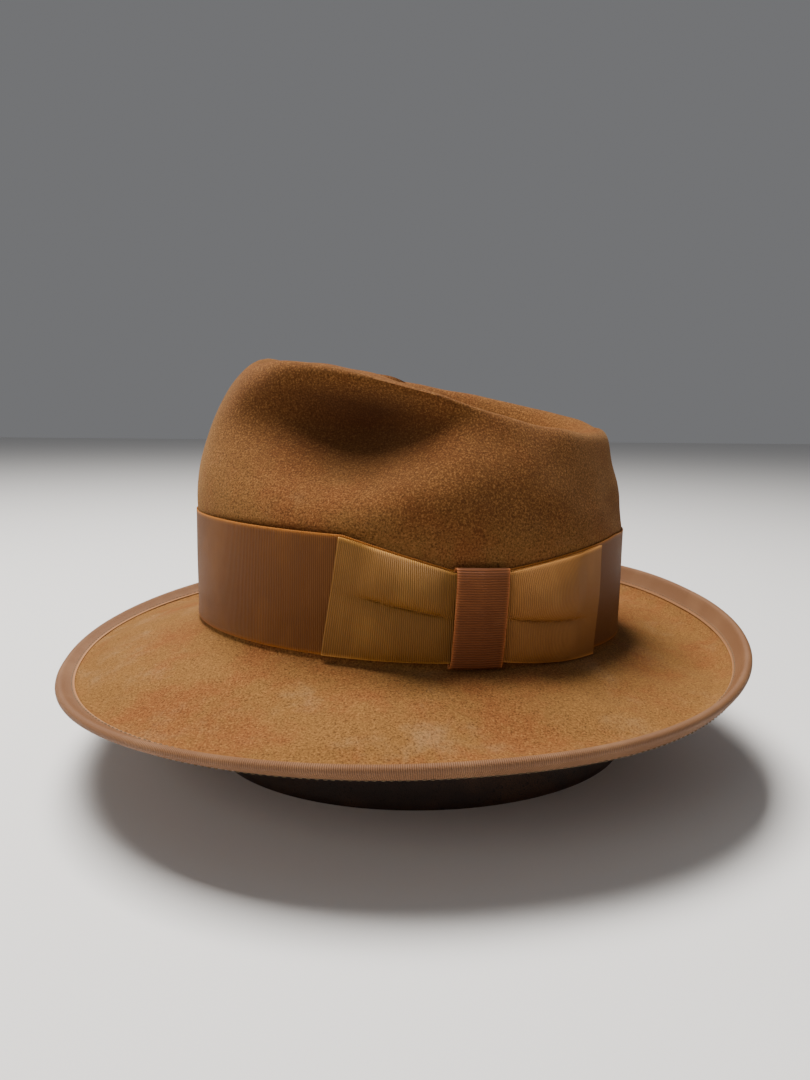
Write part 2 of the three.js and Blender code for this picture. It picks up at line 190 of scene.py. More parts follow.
def shoulder_point(angle, along):
    """The crown from the top of the ribbon, 0, to the rim's crest, 1."""
    foot, crest = above_break(angle, RIBBON.width, 0.0), rim_point(angle)
    rearness = (1 + np.cos(angle)) / 2
    lean = along ** lerp(SHOULDER.front_power, SHOULDER.rear_power, rearness)
    corner = along**SHOULDER.corner_power
    inward = lerp(lean, corner, SHOULDER.rear_corner * rearness**3)
    rise = (SHOULDER.corner_power * along - corner) / (SHOULDER.corner_power - 1)
    return pinched(
        points_of(
            lerp(foot[..., 0], crest[..., 0], inward),
            lerp(foot[..., 1], crest[..., 1], inward),
            lerp(foot[..., 2], crest[..., 2], rise),
        ),
        crest,
    )


def dent_floor(x):
    """The height of the felt's middle along the bottom of the dent."""
    return RIM_HEIGHT.middle - DENT.depth - RIM_HEIGHT.fall * (x - RIM.centre) / RIM.half_length


def dent_point(angle, along):
    """The dent in the top, from 0 at the rim's crest to 1 at its middle."""
    crest = rim_point(angle)
    x = lerp(crest[..., 0], RIM.centre, along)
    sink = (1 - np.exp(-((along / DENT.lip) ** 2))) / (1 - math.exp(-1 / DENT.lip**2))
    y, z = lerp(crest[..., 1], 0.0, along), lerp(crest[..., 2], dent_floor(x), sink)
    return pinched(points_of(x, y, z), crest)


def felt_middle(angle, row):
    """Row 0 is the brim's edge, 1 the fillet's foot, 2 the break, 3 the ribbon's top, 4 the
    rim's crest and 5 the middle of the dent."""
    angle, row = np.broadcast_arrays(np.asarray(angle, float), np.asarray(row, float))
    made = np.zeros(angle.shape + (3,))
    spans = [brim_point, fillet_point, None, shoulder_point, dent_point]
    for i, span in enumerate(spans):
        here = (row >= i) & ((row < i + 1) | (i == 4))
        if not here.any():
            continue
        if span is None:
            made[here] = above_break(angle[here], RIBBON.width * (row[here] - i), 0.0)
        else:
            made[here] = span(angle[here], np.clip(row[here] - i, 0, 1))
    return made


def felt_point(angle, row, out):
    """A point a distance out from the felt's middle, square to it."""
    step = 0.004
    angle, row = np.broadcast_arrays(np.asarray(angle, float), np.asarray(row, float))
    inner_row = np.clip(row, 0, 5 - step)
    around = felt_middle(angle + step, inner_row) - felt_middle(angle - step, inner_row)
    up = felt_middle(angle, inner_row + step / 2) - felt_middle(
        angle, np.clip(inner_row - step / 2, 0, 5)
    )
    normal = normalised(np.cross(around, up))
    normal[row > 5 - 2 * step] = (0, 0, 1)
    return felt_middle(angle, row) + normal * np.asarray(out, float)[..., None]


def row_from_edge(angle, distance):
    """The row that lies a distance in from the edge, along the curled brim."""
    edge, root = brim_edge(angle), fillet_point(angle, 0.0)
    steep = LIP.steepness * lip_height(angle) / LIP.reach
    width = np.hypot(edge[..., 0] - root[..., 0], edge[..., 1] - root[..., 1])
    return distance / width / np.sqrt(1 + steep**2)


def bow_side(x, up, out):
    """A point on the bow's side of the crown, placed by its distance along the hat."""
    share = np.clip((x - OVAL.centre) / OVAL.half_length, -1, 1)
    return above_break(-np.arccos(share), up, out)


def ribbon_dip(x):
    """How far the ribbon's top edge is drawn down towards the knot."""
    ahead = (BOW.knot_low - x) / BOW_REACH.front
    behind = (x - BOW.knot_high) / BOW_REACH.rear
    return BOW.dip * np.clip(1 - np.maximum(0, np.maximum(ahead, behind)), 0, 1)


def waves(points, length, seed, count=14):
    """Smooth, random, repeatable hills between about -1 and 1, with that wavelength in mm."""
    dice = np.random.default_rng(seed)
    total = np.zeros(points.shape[:-1])
    for _ in range(count):
        direction = normalised(dice.normal(size=3)) * TURN / (length * dice.uniform(0.7, 1.5))
        total += np.sin(points @ direction + dice.uniform(0, TURN))
    return total / math.sqrt(count)


# ---------------------------------------------------------------- mesh building
def circle(count):
    """That many even angles, once round."""
    return np.arange(count) / count * TURN


def new_object(name, points, faces, material, uv=None):
    """An object of points in mm. uv, in mm, has one pair for each corner of each face."""
    mesh = bpy.data.meshes.new(name)
    mesh.from_pydata((points.reshape(-1, 3) * MM).tolist(), [], faces.tolist())
    if uv is not None:
        layer = mesh.uv_layers.new(name="cloth")
        layer.data.foreach_set("uv", uv.reshape(-1).astype(np.float32))
    mesh.shade_smooth()
    mesh.set_sharp_from_angle(angle=math.radians(65))
    mesh.materials.append(material)
    made = bpy.data.objects.new(name, mesh)
    bpy.context.scene.collection.objects.link(made)
    return made


def grid_corners(rows, columns, wrap_rows=False, wrap_columns=False):
    """The rows and columns of every quad's corners, each (quads, 4)."""
    r = np.arange(rows if wrap_rows else rows - 1)[:, None]
    c = np.arange(columns if wrap_columns else columns - 1)[None, :]
    r, c = (a.reshape(-1) for a in np.broadcast_arrays(r, c))
    return np.stack([r, r, r + 1, r + 1], -1), np.stack([c, c + 1, c + 1, c], -1)


def ring_object(name, points, material, uv=None):
    """A closed ring: points (around its section, round the hat, 3), and uv one longer each way."""
    rows, columns = points.shape[:2]
    r, c = grid_corners(rows, columns, True, True)
    faces = (r % rows) * columns + c % columns
    return new_object(name, points, faces, material, None if uv is None else uv[r, c])


def normals_of(points, wrap):
    """Unit normals of a grid of points; wrap says that its columns close on themselves."""
    if wrap:
        wide = np.concatenate([points[:, -1:], points, points[:, :1]], 1)
        across = np.gradient(wide, axis=1)[:, 1:-1]
    else:
        across = np.gradient(points, axis=1)
    return normalised(np.cross(across, np.gradient(points, axis=0)))


def edge_lengths(points, axis):
    """The distance along a grid's rows or columns, as an average over the other direction."""
    steps = np.linalg.norm(np.diff(points, axis=axis), axis=-1).mean(axis=1 - axis)
    return np.concatenate([[0], np.cumsum(steps)])


def cloth_ring(name, middle, thickness, material):
    """A strip of cloth round the hat, given by its middle, (across the strip, round the hat).
    u of its uv runs along the strip and v across it."""
    normal = normals_of(middle, True)
    closed = np.concatenate([middle, middle[:, :1]], 1)
    round_hat = edge_lengths(closed, 1)
    half = thickness / 2
    bulge = [normalised(middle[i] - middle[j]) * half for i, j in ((-1, -2), (0, 1))]
    section = np.concatenate(
        [
            middle + normal * half,
            (middle[-1] + bulge[0])[None],
            (middle - normal * half)[::-1],
            (middle[0] + bulge[1])[None],
        ]
    )
    width = edge_lengths(closed, 0)
    across = np.concatenate([width, width[-1:], width[::-1], width[:1], width[:1]])
    uv = np.stack(np.broadcast_arrays(round_hat[None, :], across[:, None]), -1)
    made = ring_object(name, section, material, uv)
    paint_selvedge(made, np.broadcast_to(across[:-1, None], section.shape[:2]), width[-1])
    return made


def cloth_piece(name, middle, thickness, material):
    """A strip of cloth with two ends: middle is (along the strip, across it, 3)."""
    rows, columns = middle.shape[:2]
    normal = normals_of(middle, False)
    top, bottom = middle + normal * thickness / 2, middle - normal * thickness / 2
    count = rows * columns
    index = np.arange(count).reshape(rows, columns)
    r, c = grid_corners(rows, columns)
    faces = r * columns + c
    rim = np.concatenate(
        [index[0, :-1], index[:-1, -1], index[-1, :0:-1], index[:0:-1, 0]]
    )
    following = np.roll(rim, -1)
    sides = np.stack([rim, rim + count, following + count, following], -1)
    faces = np.concatenate([faces, faces[:, ::-1] + count, sides])
    along, width = edge_lengths(middle, 0), edge_lengths(middle, 1)
    uv = np.stack(np.broadcast_arrays(along[:, None], width[None, :]), -1).reshape(-1, 2)
    made = new_object(
        name, np.concatenate([top, bottom]), faces, material, np.tile(uv, (2, 1))[faces]
    )
    across = np.broadcast_to(width[None, :], (rows, columns))
    paint_selvedge(made, np.tile(across, (2, 1)), width[-1])
    face_outwards(made)
    return made


def paint(made, name, values):
    """Stores one number for each point, for a material to read."""
    attribute = made.data.attributes.new(name, "FLOAT", "POINT")
    attribute.data.foreach_set("value", np.asarray(values, np.float32).reshape(-1))


def paint_selvedge(made, across, width):
    """Marks the strip's two edges; across is each point's distance from one of them."""
    inset = np.minimum(across, width - across)
    paint(made, "selvedge", np.clip(1 - inset / SELVEDGE, 0, 1))


def face_outwards(made):
    """Turns the faces of a closed mesh so that they all face out."""
    graph = bmesh.new()
    graph.from_mesh(made.data)
    bmesh.ops.recalc_face_normals(graph, faces=graph.faces)
    graph.to_mesh(made.data)
    graph.free()


def threads(name, paths, ups, radius, material, sides=6):
    """Many short threads in one object, each closed and narrower at its ends. paths and ups
    are (threads, steps, 3); ups point away from the cloth."""
    count, steps = paths.shape[:2]
    along = normalised(np.gradient(paths, axis=1))
    side = normalised(np.cross(along, ups))
    top = np.cross(side, along)
    turn = circle(sides)[:, None]
    swell = np.clip(1 - np.linspace(-1, 1, steps) ** 4, 0.15, 1) ** 0.5 * radius
    swell = swell[None, :, None, None]
    ring = np.cos(turn) * side[:, :, None] + np.sin(turn) * top[:, :, None]
    points = paths[:, :, None] + swell * ring
    r, c = grid_corners(steps, sides, False, True)
    faces = r * sides + c % sides
    caps = np.stack([np.arange(sides)[::-1], np.arange(sides) + (steps - 1) * sides])
    starts = np.arange(count) * steps * sides
    quads = (faces[None] + starts[:, None, None]).reshape(-1, 4).tolist()
    ends = (caps[None] + starts[:, None, None]).reshape(-1, sides).tolist()
    mesh = bpy.data.meshes.new(name)
    mesh.from_pydata((points.reshape(-1, 3) * MM).tolist(), [], quads + ends)
    mesh.shade_smooth()
    mesh.materials.append(material)
    made = bpy.data.objects.new(name, mesh)
    bpy.context.scene.collection.objects.link(made)
    face_outwards(made)
    return made


def even_angles(place, count):
    """Angles at which place(angle) passes equal distances round the hat."""
    fine = np.linspace(0, TURN, 1441)
    run = edge_lengths(place(fine)[None], 1)
    return np.interp(np.arange(count) / count * run[-1], run, fine)


def stitch_ring(name, place, material, seed):
    """A ring of stitches. place(angle, out) is a point over the cloth, by angle round the hat."""
    length = edge_lengths(place(np.linspace(0, TURN, 721), 0.0)[None], 1)[-1]
    count = round(length / STITCH.pitch)
    starts = even_angles(lambda angle: place(angle, 0.0), count)
    spans = np.diff(np.append(starts, TURN + starts[0]))
    steps = np.linspace(-0.5, 0.5, 5) * STITCH.length / STITCH.pitch
    dice = np.random.default_rng(seed)
    jitter = dice.normal(0, 0.03, count)[:, None]
    angles = starts[:, None] + (steps[None] + jitter) * spans[:, None]
    lift = STITCH.radius * np.array([-1.2, 0.4, 0.8, 0.4, -1.2])[None]
    lift = lift + dice.normal(0, 0.03, count)[:, None]
    paths = place(angles, lift)
    ups = place(angles, lift + 1) - paths
    return threads(name, paths, ups, STITCH.radius, material)


# ---------------------------------------------------------------- materials
class Nodes:
    """Builds a material's nodes. Lengths are in mm, in the frame of the piece."""

    COLOUR_A, COLOUR_B, COLOUR_OUT = 6, 7, 2  # the mix node's colour sockets

    def __init__(self, name):
        self.material = bpy.data.materials.new(name)
        self.material.use_nodes = True
        self.tree = self.material.node_tree
        self.shader = self.tree.nodes["Principled BSDF"]
        coordinates = self.tree.nodes.new("ShaderNodeTexCoord")
        self.place = self.scaled(coordinates.outputs["Object"], (1 / MM,) * 3)
        self.cloth = coordinates.outputs["UV"]

    def link(self, source, target):
        if isinstance(source, bpy.types.NodeSocket):
            self.tree.links.new(source, target)
        else:
            target.default_value = source
        return target

    def scaled(self, vector, factors):
        node = self.tree.nodes.new("ShaderNodeVectorMath")
        node.operation = "MULTIPLY"
        self.link(vector, node.inputs[0])
        node.inputs[1].default_value = factors
        return node.outputs[0]

    def math(self, operation, a, b=0.0):
        node = self.tree.nodes.new("ShaderNodeMath")
        node.operation = operation
        self.link(a, node.inputs[0])
        self.link(b, node.inputs[1])
        return node.outputs[0]

    def noise(self, length, detail=2.0, roughness=0.5, stretch=(1, 1, 1), where=None):
        """Noise from 0 to 1 whose hills are about that many mm across."""
        node = self.tree.nodes.new("ShaderNodeTexNoise")
        vector = self.place if where is None else where
        self.link(self.scaled(vector, tuple(1 / (length * s) for s in stretch)), node.inputs[0])
        node.inputs["Scale"].default_value = 1.0
        node.inputs["Detail"].default_value = detail
        node.inputs["Roughness"].default_value = roughness
        return node.outputs["Fac"]

    def cells(self, length):
        """Distance to the edges of cells that are about that many mm across."""
        node = self.tree.nodes.new("ShaderNodeTexVoronoi")
        node.feature = "DISTANCE_TO_EDGE"
        self.link(self.scaled(self.place, (1 / length,) * 3), node.inputs["Vector"])
        node.inputs["Scale"].default_value = 1.0
        return node.outputs["Distance"]

    def between(self, value, low, high):
        """0 below low and 1 above high, or the other way round where low is the higher."""
        node = self.tree.nodes.new("ShaderNodeMapRange")
        node.interpolation_type = "SMOOTHSTEP"
        self.link(value, node.inputs["Value"])
        node.inputs["From Min"].default_value = min(low, high)
        node.inputs["From Max"].default_value = max(low, high)
        node.inputs["To Min"].default_value = 0.0 if low < high else 1.0
        node.inputs["To Max"].default_value = 1.0 if low < high else 0.0
        return node.outputs["Result"]

    def mix(self, a, b, share):
        node = self.tree.nodes.new("ShaderNodeMix")
        node.data_type = "RGBA"
        self.link(share, node.inputs["Factor"])
        self.link(a, node.inputs[self.COLOUR_A])
        self.link(b, node.inputs[self.COLOUR_B])
        return node.outputs[self.COLOUR_OUT]

    def part(self, vector, axis):
        node = self.tree.nodes.new("ShaderNodeSeparateXYZ")
        self.link(vector, node.inputs[0])
        return node.outputs[axis]

    def painted(self, name):
        """The number that paint() stored on the mesh."""
        node = self.tree.nodes.new("ShaderNodeAttribute")
        node.attribute_name = name
        return node.outputs["Fac"]

    def wave(self, value, pitch):
        """From 0 in the grooves to 1 on the ribs, with one rib each pitch."""
        phase = self.math("MULTIPLY", value, TURN / pitch)
        half_cosine = self.math("MULTIPLY", self.math("COSINE", phase), 0.5)
        return self.math("ADD", half_cosine, 0.5)

    def bump(self, height, depth, strength=1.0, under=None):
        """Height from 0 to 1 stands for that many mm."""
        node = self.tree.nodes.new("ShaderNodeBump")
        node.inputs["Strength"].default_value = strength
        node.inputs["Distance"].default_value = depth * MM
        self.link(height, node.inputs["Height"])
        if under is not None:
            self.link(under, node.inputs["Normal"])
        return node.outputs["Normal"]

    def finish(self, colour, normal, roughness, specular=0.5, sheen=0.0, tint=(1, 1, 1, 1)):
        self.link(colour, self.shader.inputs["Base Color"])
        self.link(normal, self.shader.inputs["Normal"])
        self.link(roughness, self.shader.inputs["Roughness"])
        self.shader.inputs["Specular IOR Level"].default_value = specular
        self.shader.inputs["Sheen Weight"].default_value = sheen
        self.shader.inputs["Sheen Roughness"].default_value = 0.5
        self.shader.inputs["Sheen Tint"].default_value = tint
        return self.material


def colour_of(red, green, blue):
    """A colour given in sRGB, 0 to 255."""

    def linear(c):
        c /= 255
        return c / 12.92 if c <= 0.04045 else ((c + 0.055) / 1.055) ** 2.4

    return (linear(red), linear(green), linear(blue), 1.0)


def darker(colour, share):
    return tuple(c * share for c in colour[:3]) + (1.0,)


def felt_material():
    n = Nodes("felt")
    fibre = n.noise(0.35, 2, 0.6)
    tuft = n.noise(0.75, 3, 0.7)
    blotch = n.noise(7, 4, 0.65)
    patch = n.noise(34, 3, 0.5)
    rust = n.between(n.math("ADD", patch, n.math("MULTIPLY", blotch, 0.5)), 0.62, 0.95)
    # Patchy dust over the brim; on the crown just above the ribbon, strongest at the front, the
    # same lightening is painted light where the lower crown faces the lamp.
    dust_and_painted_light = n.between(n.noise(16, 5, 0.7, (1.8, 1.8, 0.8)), 0.5, 0.8)
    dust_and_painted_light = n.math("MULTIPLY", dust_and_painted_light, n.painted("dust_and_painted_light"))
    colour = n.mix(colour_of(118, 82, 42), colour_of(116, 70, 36), rust)
    colour = n.mix(colour, colour_of(144, 114, 80), n.math("MULTIPLY", dust_and_painted_light, 0.6))
    # Painted shade: the crown's walls darker than the brim, less at their lower front where they
    # face the lamp, and a little in the fillet at the brim's root.
    colour = n.mix(colour, colour_of(88, 50, 20), n.painted("painted_shade"))
    light = n.math("MULTIPLY", n.between(tuft, 0.5, 0.68), 0.55)
    colour = n.mix(colour, colour_of(160, 112, 62), light)
    dark = n.math("MULTIPLY", n.between(tuft, 0.5, 0.34), 0.7)
    colour = n.mix(colour, colour_of(58, 32, 13), dark)
    # Painted shade in the pinch's hollow.
    colour = n.mix(colour, colour_of(52, 22, 8), n.painted("painted_pinch_shade"))
    normal = n.bump(fibre, 0.25, 0.6)
    normal = n.bump(tuft, 0.4, 0.6, normal)
    return n.finish(colour, normal, 0.95, 0.1, 0.22, colour_of(214, 176, 128))


def ribbon_material(name, base, worn, pitch=RIBBON.rib):
    """Grosgrain: ribs across the ribbon, u of the uv along it, with a pale woven selvedge."""
    n = Nodes(name)
    along, across = n.part(n.cloth, 0), n.part(n.cloth, 1)
    wander = n.noise(30, 2, 0.5, where=n.cloth)
    rib = n.wave(n.math("ADD", along, n.math("MULTIPLY", wander, 0.6)), pitch)
    warp = n.wave(across, 0.32)
    slub = n.noise(2.5, 3, 0.6, (0.3, 6, 1), n.cloth)
    fade = n.noise(26, 3, 0.6, (1, 1.6, 1), n.cloth)
    colour = n.mix(base, worn, n.between(fade, 0.42, 0.75))
    # Painted shade in the grooves between the ribs.
    dark = darker(base, 0.5)
    colour = n.mix(colour, dark, n.math("MULTIPLY", n.between(rib, 0.6, 0.0), 0.85))
    colour = n.mix(colour, worn, n.math("MULTIPLY", n.between(slub, 0.55, 0.8), 0.25))
    pale = tuple(min(1.0, c * 1.9) for c in worn[:3]) + (1.0,)
    colour = n.mix(colour, pale, n.math("MULTIPLY", n.painted("selvedge"), 0.85))
    height = n.math("ADD", rib, n.math("MULTIPLY", warp, 0.18))
    height = n.math("ADD", height, n.math("MULTIPLY", slub, 0.4))
    normal = n.bump(height, 0.22, 0.9)
    return n.finish(colour, normal, 0.55, 0.25, 0.05, colour_of(230, 190, 130))


def thread_material(name, base):
    n = Nodes(name)
    twist = n.wave(n.part(n.scaled(n.place, (1, 1, 1.4)), 0), 0.35)
    # Painted shade in the grooves of the twist.
    colour = n.mix(base, darker(base, 0.6), n.between(twist, 0.6, 0.1))
    normal = n.bump(twist, 0.05, 0.8)
    return n.finish(colour, normal, 0.7, 0.3, 0.2, colour_of(230, 215, 190))


def leather_material():
    n = Nodes("sweatband_leather")
    grain = n.between(n.cells(0.9), 0.0, 0.12)
    crease = n.noise(14, 4, 0.6, (1, 1, 0.35))
    tone = n.noise(30, 3, 0.6)
    colour = n.mix(colour_of(48, 30, 19), colour_of(78, 50, 30), n.between(tone, 0.4, 0.7))
    colour = n.mix(colour_of(30, 18, 11), colour, n.between(grain, 0.0, 0.8))
    normal = n.bump(grain, 0.08, 0.6)
    normal = n.bump(crease, 0.6, 0.4, normal)
    return n.finish(colour, normal, n.math("ADD", n.math("MULTIPLY", tone, 0.3), 0.3), 0.4)


def weave_material(name, base, worn, pitch, roughness, sheen):
    """A plain weave, u of the uv along the cloth and v across it."""
    n = Nodes(name)
    along = n.wave(n.part(n.cloth, 0), pitch)
    across = n.wave(n.part(n.cloth, 1), pitch)
    fade = n.noise(22, 3, 0.6)
    height = n.math("MULTIPLY", along, across)
    colour = n.mix(base, worn, n.between(fade, 0.4, 0.7))
    # Painted shade where the threads dip between each other.
    dark = darker(base, 0.7)
    colour = n.mix(colour, dark, n.math("MULTIPLY", n.between(height, 0.4, 0.0), 0.4))
    normal = n.bump(height, 0.06, 0.5)
    return n.finish(colour, normal, roughness, 0.4, sheen, worn)


FELT_CLOTH = felt_material()
# Copies of one grosgrain ribbon, lit and shaded: the front wing is painted lighter than the band
# and knot, and the rear wing lighter still, as painted light where their ribs catch the lamp.
BAND_RIBBON = ribbon_material("band_ribbon", colour_of(114, 66, 18), colour_of(132, 80, 26))
FRONT_RIBBON_PAINTED_LIGHT = ribbon_material("front_ribbon_painted_light", colour_of(136, 92, 36), colour_of(156, 110, 48))
REAR_RIBBON_PAINTED_LIGHT = ribbon_material("rear_ribbon_painted_light", colour_of(156, 104, 48), colour_of(176, 122, 62))
KNOT_RIBBON = ribbon_material("knot_ribbon", colour_of(118, 66, 32), colour_of(140, 82, 42), 0.95)
BINDING_TAPE = ribbon_material(
    "binding_ribbon", colour_of(126, 86, 56), colour_of(140, 100, 68), BINDING.rib
)
THREAD = thread_material("thread", colour_of(110, 90, 66))
BAND_THREAD = thread_material("band_thread", colour_of(86, 62, 34))
LEATHER = leather_material()
TAPE_CLOTH = weave_material(
    "reed_tape", colour_of(92, 72, 52), colour_of(112, 90, 66), 0.6, 0.85, 0.1
)
REED_CORD = thread_material("reed", colour_of(150, 132, 104))
SATIN = weave_material(
    "lining_satin", colour_of(176, 150, 110), colour_of(196, 172, 134), 0.25, 0.32, 0.3
)


# ---------------------------------------------------------------- felt
def felt_wobble(angle, row):
    """Slow unevenness of the hand-shaped felt, none under the ribbon or the binding."""
    on_brim = np.clip(row / 0.3, 0, 1) ** 2 * np.clip((1 - row) / 0.4, 0, 1)
    on_crown = np.clip((row - 3) / 0.3, 0, 1)
    middle = felt_middle(angle, row)
    slow = waves(middle, 55, 3) * 0.9 + waves(middle, 24, 4) * 0.35
    return slow * np.where(row < 2, on_brim, on_crown)


def painted_pinch_shade(angle, row):
    """How much painted shade darkens the felt: most in the pinch, below the rim, where the hollow
    faces down.
    """
    crest = rim_point(angle)
    points = felt_middle(angle, row)
    drop = crest[..., 2] - points[..., 2]
    upper = np.clip((drop - PINCH_SHADE_REACH.rim) / PINCH_SHADE_REACH.fade_in, 0, 1)
    lower = np.clip((PINCH_SHADE_REACH.bottom - drop) / PINCH_SHADE_REACH.fade_out, 0, 1)
    along = points[..., 0] - PINCH.x + 0.5 * (drop - PINCH.drop)
    reach = np.where(along < 0, PINCH_SHADE_REACH.ahead, PINCH_SHADE_REACH.behind)
    patch = upper * lower * np.exp(-((along / reach) ** 2))
    return np.where(row > 3, PINCH_SHADE_REACH.most * patch, 0.0)


def felt_body():
    columns = 420
    angles = circle(columns)
    spans = [(0, 1, 30), (1, 2, 7), (2, 3, 9), (3, 4, 46), (4, 5, 30)]
    rows = np.concatenate([np.linspace(a, b, n, endpoint=False) for a, b, n in spans] + [[5]])
    inner_rows = rows[::-2]
    half = FELT.thickness / 2
    both = np.concatenate([rows, inner_rows])
    angle, row = np.broadcast_arrays(angles[None, :], both[:, None])
    wobble = felt_wobble(angle, row)
    side = np.where(np.arange(len(both)) < len(rows), half, -half)[:, None]
    points = felt_point(angle, row, side + wobble)
    made = ring_object("felt", points, FELT_CLOTH)
    # Painted shade over the crown above the ribbon, lighter at its lower front where it is lit, and
    # a little in the fillet where brim meets crown.
    root = np.exp(-(((row - 1.1) / 0.28) ** 2))
    front = np.clip(-np.cos(angle), 0, 1)
    crown = np.clip((row - 2.9) / 0.3, 0, 1) * 0.72
    crown = crown * (1 - 0.7 * front * np.exp(-(((row - 3.1) / 0.35) ** 2)))
    paint(made, "painted_shade", np.clip(crown + 0.15 * root, 0, 1))
    # Dust over the whole brim; the band above the ribbon, strongest at the front, is painted light
    # on the lit lower crown.
    dusty_and_lit = np.where(row < 1.2, 1.0, 0.5 * (1 + front) * np.exp(-(((row - 3.15) / 0.4) ** 2)))
    paint(made, "dust_and_painted_light", dusty_and_lit)
    # Paints shade into the pinch's hollow.
    paint(made, "painted_pinch_shade", painted_pinch_shade(angle, row))
    modifier = made.modifiers.new("weld", "WELD")
    modifier.merge_threshold = 1e-6
    graph = bpy.context.evaluated_depsgraph_get()
    mesh = bpy.data.meshes.new_from_object(made.evaluated_get(graph))
    made.modifiers.clear()
    made.data = mesh
    return made


# ---------------------------------------------------------------- binding
def binding_middle(angles, offset, steps=7):
    """The tape's middle, from its edge on the brim's top, round the edge, to the underside."""
    tail = row_from_edge(angles, BINDING.width)
    shares = np.linspace(1, 0, steps, endpoint=False)[:, None]
    edge = felt_middle(angles, np.zeros_like(angles))
    normal = normalised(felt_point(angles, np.zeros_like(angles), 1.0) - edge)
    outward = normalised(edge - felt_middle(angles, np.full_like(angles, 0.03)))
    turns = np.linspace(0, math.pi, 9)[:, None, None]
    wrapped = edge[None] + offset * (np.cos(turns) * normal[None] + np.sin(turns) * outward[None])
    top = felt_point(angles[None], tail[None] * shares, offset)
    under = felt_point(angles[None], tail[None] * shares[::-1], -offset)
    return np.concatenate([top, wrapped, under])


BINDING_OFFSET = FELT.thickness / 2 + BINDING.gap + BINDING.thickness / 2


def brim_binding():
    angles = even_angles(lambda a: felt_middle(a, np.zeros_like(a)), 480)
    middle = binding_middle(angles, BINDING_OFFSET)
    return cloth_ring("brim_binding_tape", middle, BINDING.thickness, BINDING_TAPE)


def binding_stitches(name, side, seed):
    base = BINDING_OFFSET + BINDING.thickness / 2

    def place(angle, out):
        row = row_from_edge(angle, BINDING.width - BINDING.seam)
        return felt_point(angle, row, side * (base + out))

    return stitch_ring(name, place, THREAD, seed)


# ---------------------------------------------------------------- hat band
BAND_OUT = FELT.thickness / 2 + RIBBON.gap + RIBBON.thickness / 2


def band_top(angle):
    x = OVAL.centre + OVAL.half_length * np.cos(angle)
    return RIBBON.width - np.where(np.sin(angle) < 0, ribbon_dip(x), 0.0)


def hat_band():
    angles = circle(480)
    share = np.linspace(0, 1, 56)[:, None]
    top = band_top(angles)[None]
    up = lerp(0.4, top, share)
    angle = np.broadcast_to(angles[None], up.shape)
    place = above_break(angle, up, 0.0)
    loose = 0.12 + 0.12 * waves(place, 38, 11) + 0.22 * np.exp(-((share - 0.02) / 0.05) ** 2)
    crease = -0.3 * np.exp(-(((up - 13 - 0.05 * place[..., 0]) / 1.6) ** 2))
    crease = crease * np.clip((-place[..., 0] - 30) / 40, 0, 1)
    out = BAND_OUT + np.clip(loose + crease, 0, None)
    return cloth_ring("hat_band_ribbon", above_break(angle, up, out), RIBBON.thickness, BAND_RIBBON)


# ---------------------------------------------------------------- bow
BOW_OUT = BAND_OUT + RIBBON.thickness / 2 + 0.5  # the back ply of the bow lies here


WING = Sizes(inset=0.6, at_knot=1.4, at_fold=1.0, past_fold=0.5, slack=0.3, under_knot=0.12)


def bow_wing(name, fold, lean, sag, crease, material):
    """A wing: the front ply from the knot to the fold, and the back ply from there to the knot."""
    knot_middle = (BOW.knot_low + BOW.knot_high) / 2
    knot_half = (BOW.knot_high - BOW.knot_low) / 2
    span = abs(fold - knot_middle)
    side = 1 if fold > knot_middle else -1
    plies, turn_steps, back = 60, 7, 14
    reach = np.concatenate(
        [np.linspace(0.02, 1, plies), np.ones(turn_steps - 1), np.linspace(1, 0.02, back)]
    )[:, None]
    ply = np.concatenate(
        [np.zeros(plies), np.linspace(0, 1, turn_steps + 1)[1:-1], np.ones(back)]
    )[:, None]
    v = np.linspace(0, 1, 64)[None, :]
    free = np.clip((reach * span - knot_half) / (span - knot_half), 0, 1)
    x = knot_middle + side * reach * span
    x = x + lean * (v - 0.5) * reach**2
    low = WING.inset - sag * np.sin(np.clip(free * 2, 0, math.pi / 2))
    high = RIBBON.width - WING.inset - ribbon_dip(x)
    up = lerp(low, high, v)

    # two lobes with a crease between them; the upper one hangs over the crease
    centre = lerp(crease.at_knot, crease.at_fold, free**0.8)
    above = np.clip((v - centre) / (1 - centre), 0, 1)
    below = np.clip((centre - v) / centre, 0, 1)
    upper = above**0.4 * (1 - above) ** 0.75 / 0.53
    lower = below**0.7 * (1 - below) ** 0.6 / 0.42
    lobes = np.where(v > centre, crease.upper * upper, crease.lower * lower)
    plain = (1 - np.abs(2 * v - 1) ** 2.5) * (crease.upper + crease.lower) / 2
    folded = np.clip((1 - free) / 0.2, 0, 1)
    folded = folded * folded * (3 - 2 * folded)
    swell = 0.35 + 0.65 * np.sin(np.clip(free * 1.25, 0, 1) * math.pi) ** 0.8
    swell = swell * np.clip((1 - free) / 0.35, 0.25, 1)
    swell = swell * lerp(0.4, 1, np.clip(free / WING.under_knot, 0, 1))
    front = lerp(WING.at_knot, WING.at_fold, free) + swell * lerp(plain, lobes, folded)
    bend = np.clip(ply, 0, 1)
    out = BOW_OUT + front * (1 + np.cos(bend * math.pi)) / 2
    past = WING.past_fold * np.sin(bend * math.pi) * side
    x, up, out = np.broadcast_arrays(x + past, up, out)
    offset = WING.slack * waves(points_of(x, up, 0 * x), 26, 21 + int(fold) % 7) * free
    middle = bow_side(x, up, out + offset * (1 - bend))
    return cloth_piece(name, middle, RIBBON.thickness, material)


